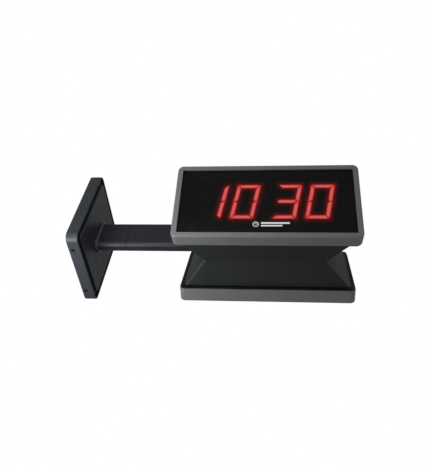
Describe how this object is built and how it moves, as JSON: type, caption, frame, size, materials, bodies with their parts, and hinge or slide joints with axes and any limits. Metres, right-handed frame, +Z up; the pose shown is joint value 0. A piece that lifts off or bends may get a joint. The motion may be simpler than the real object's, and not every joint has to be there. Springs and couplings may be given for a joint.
{
  "type": "double-sided wall clock",
  "caption": "Double-sided digital wall clock: LED faces tilted down on a waisted housing, carried from the wall by a flat arm with a square canopy.",
  "frame": {"origin": "centre of the wall bracket's back face, on the wall plane", "axes": "+X out of the wall along the arm, -Y towards the front clock's reader, +Y towards the rear clock's, +Z up"},
  "size_m": [0.4495, 0.2182, 0.1668],
  "materials": {
    "bezel_plastic": "satin moulded grey",
    "smoked_lens": "glossy smoked acrylic",
    "mask_plastic": "matte black",
    "module_plastic": "matte black",
    "lit_segment": "lit red",
    "dark_segment": "unlit diffuser",
    "colon_lamp": "unlit lamp",
    "circuit_board": "green solder mask",
    "component_plastic": "moulded black",
    "terminal_plastic": "moulded green",
    "switch_plastic": "moulded black",
    "brass_post": "plain brass",
    "zinc_steel": "zinc plated",
    "black_steel": "black oxide",
    "cover_plastic": "moulded black",
    "button_plastic": "light grey",
    "plate_paint": "black powder coat",
    "housing_plastic": "charcoal, fine texture",
    "arm_paint": "blue-grey satin paint",
    "joiner_metal": "plain extrusion",
    "bushing_plastic": "moulded black",
    "bracket_steel": "zinc plated sheet",
    "grommet_rubber": "black rubber",
    "canopy_paint": "charcoal semi-gloss paint",
    "collar_plastic": "semi-gloss charcoal"
  },
  "bodies": {
    "wall_mount": {"housing_screws": "zinc_steel", "housing_nuts": "zinc_steel", "arm_bolts": "zinc_steel", "arm_nuts": "zinc_steel", "arm_socket": "arm_paint", "arm_tube": "arm_paint", "arm_joiner": "joiner_metal", "arm_set_screws": "black_steel", "arm_spacers": "zinc_steel", "arm_end_bushing": "bushing_plastic", "wall_bracket": "bracket_steel", "cable_grommet": "grommet_rubber", "socket_screws": "zinc_steel", "front_mounting_plate": "plate_paint", "front_hanger_studs": "zinc_steel", "front_plate_screws": "zinc_steel", "front_housing_shell": "housing_plastic", "rear_mounting_plate": "plate_paint", "rear_hanger_studs": "zinc_steel", "rear_plate_screws": "zinc_steel", "rear_housing_shell": "housing_plastic"},
    "canopy": {"canopy_cover": "canopy_paint", "canopy_collar": "collar_plastic", "canopy_screws": "black_steel", "canopy_nuts": "zinc_steel"},
    "front_clock": {"front_bezel": "bezel_plastic", "front_lens": "smoked_lens", "front_display_mask": "mask_plastic", "front_digit_modules": "module_plastic", "front_lit_segments": "lit_segment", "front_dark_segments": "dark_segment", "front_colon_leds": "colon_lamp", "front_display_board": "circuit_board", "front_board_components": "component_plastic", "front_terminal_block": "terminal_plastic", "front_button_switches": "switch_plastic", "front_board_standoffs": "brass_post", "front_board_screws": "zinc_steel", "front_back_cover": "cover_plastic", "front_cover_screws": "zinc_steel"},
    "front_hour_button": {"front_hour_button": "button_plastic"},
    "front_minute_button": {"front_minute_button": "button_plastic"},
    "rear_clock": {"rear_bezel": "bezel_plastic", "rear_lens": "smoked_lens", "rear_display_mask": "mask_plastic", "rear_digit_modules": "module_plastic", "rear_lit_segments": "lit_segment", "rear_dark_segments": "dark_segment", "rear_colon_leds": "colon_lamp", "rear_display_board": "circuit_board", "rear_board_components": "component_plastic", "rear_terminal_block": "terminal_plastic", "rear_button_switches": "switch_plastic", "rear_board_standoffs": "brass_post", "rear_board_screws": "zinc_steel", "rear_back_cover": "cover_plastic", "rear_cover_screws": "zinc_steel"},
    "rear_hour_button": {"rear_hour_button": "button_plastic"},
    "rear_minute_button": {"rear_minute_button": "button_plastic"}
  },
  "joints": [
    {"name": "canopy_slide", "type": "slide", "parent": "wall_mount", "child": "canopy", "axis": [1, 0, 0], "range_m": [0, 0.12]},
    {"name": "front_clock_lift", "type": "slide", "parent": "wall_mount", "child": "front_clock", "axis": [0, -0.279, 0.9603], "range_m": [0, 0.012]},
    {"name": "front_hour_press", "type": "slide", "parent": "front_clock", "child": "front_hour_button", "axis": [0, -0.9603, -0.279], "range_m": [0, 0.0008], "stiffness_N_per_m": 300, "springref_m": -0.0005},
    {"name": "front_minute_press", "type": "slide", "parent": "front_clock", "child": "front_minute_button", "axis": [0, -0.9603, -0.279], "range_m": [0, 0.0008], "stiffness_N_per_m": 300, "springref_m": -0.0005},
    {"name": "rear_clock_lift", "type": "slide", "parent": "wall_mount", "child": "rear_clock", "axis": [0, 0.279, 0.9603], "range_m": [0, 0.012]},
    {"name": "rear_hour_press", "type": "slide", "parent": "rear_clock", "child": "rear_hour_button", "axis": [0, 0.9603, -0.279], "range_m": [0, 0.0008], "stiffness_N_per_m": 300, "springref_m": -0.0005},
    {"name": "rear_minute_press", "type": "slide", "parent": "rear_clock", "child": "rear_minute_button", "axis": [0, 0.9603, -0.279], "range_m": [0, 0.0008], "stiffness_N_per_m": 300, "springref_m": -0.0005}
  ]
}
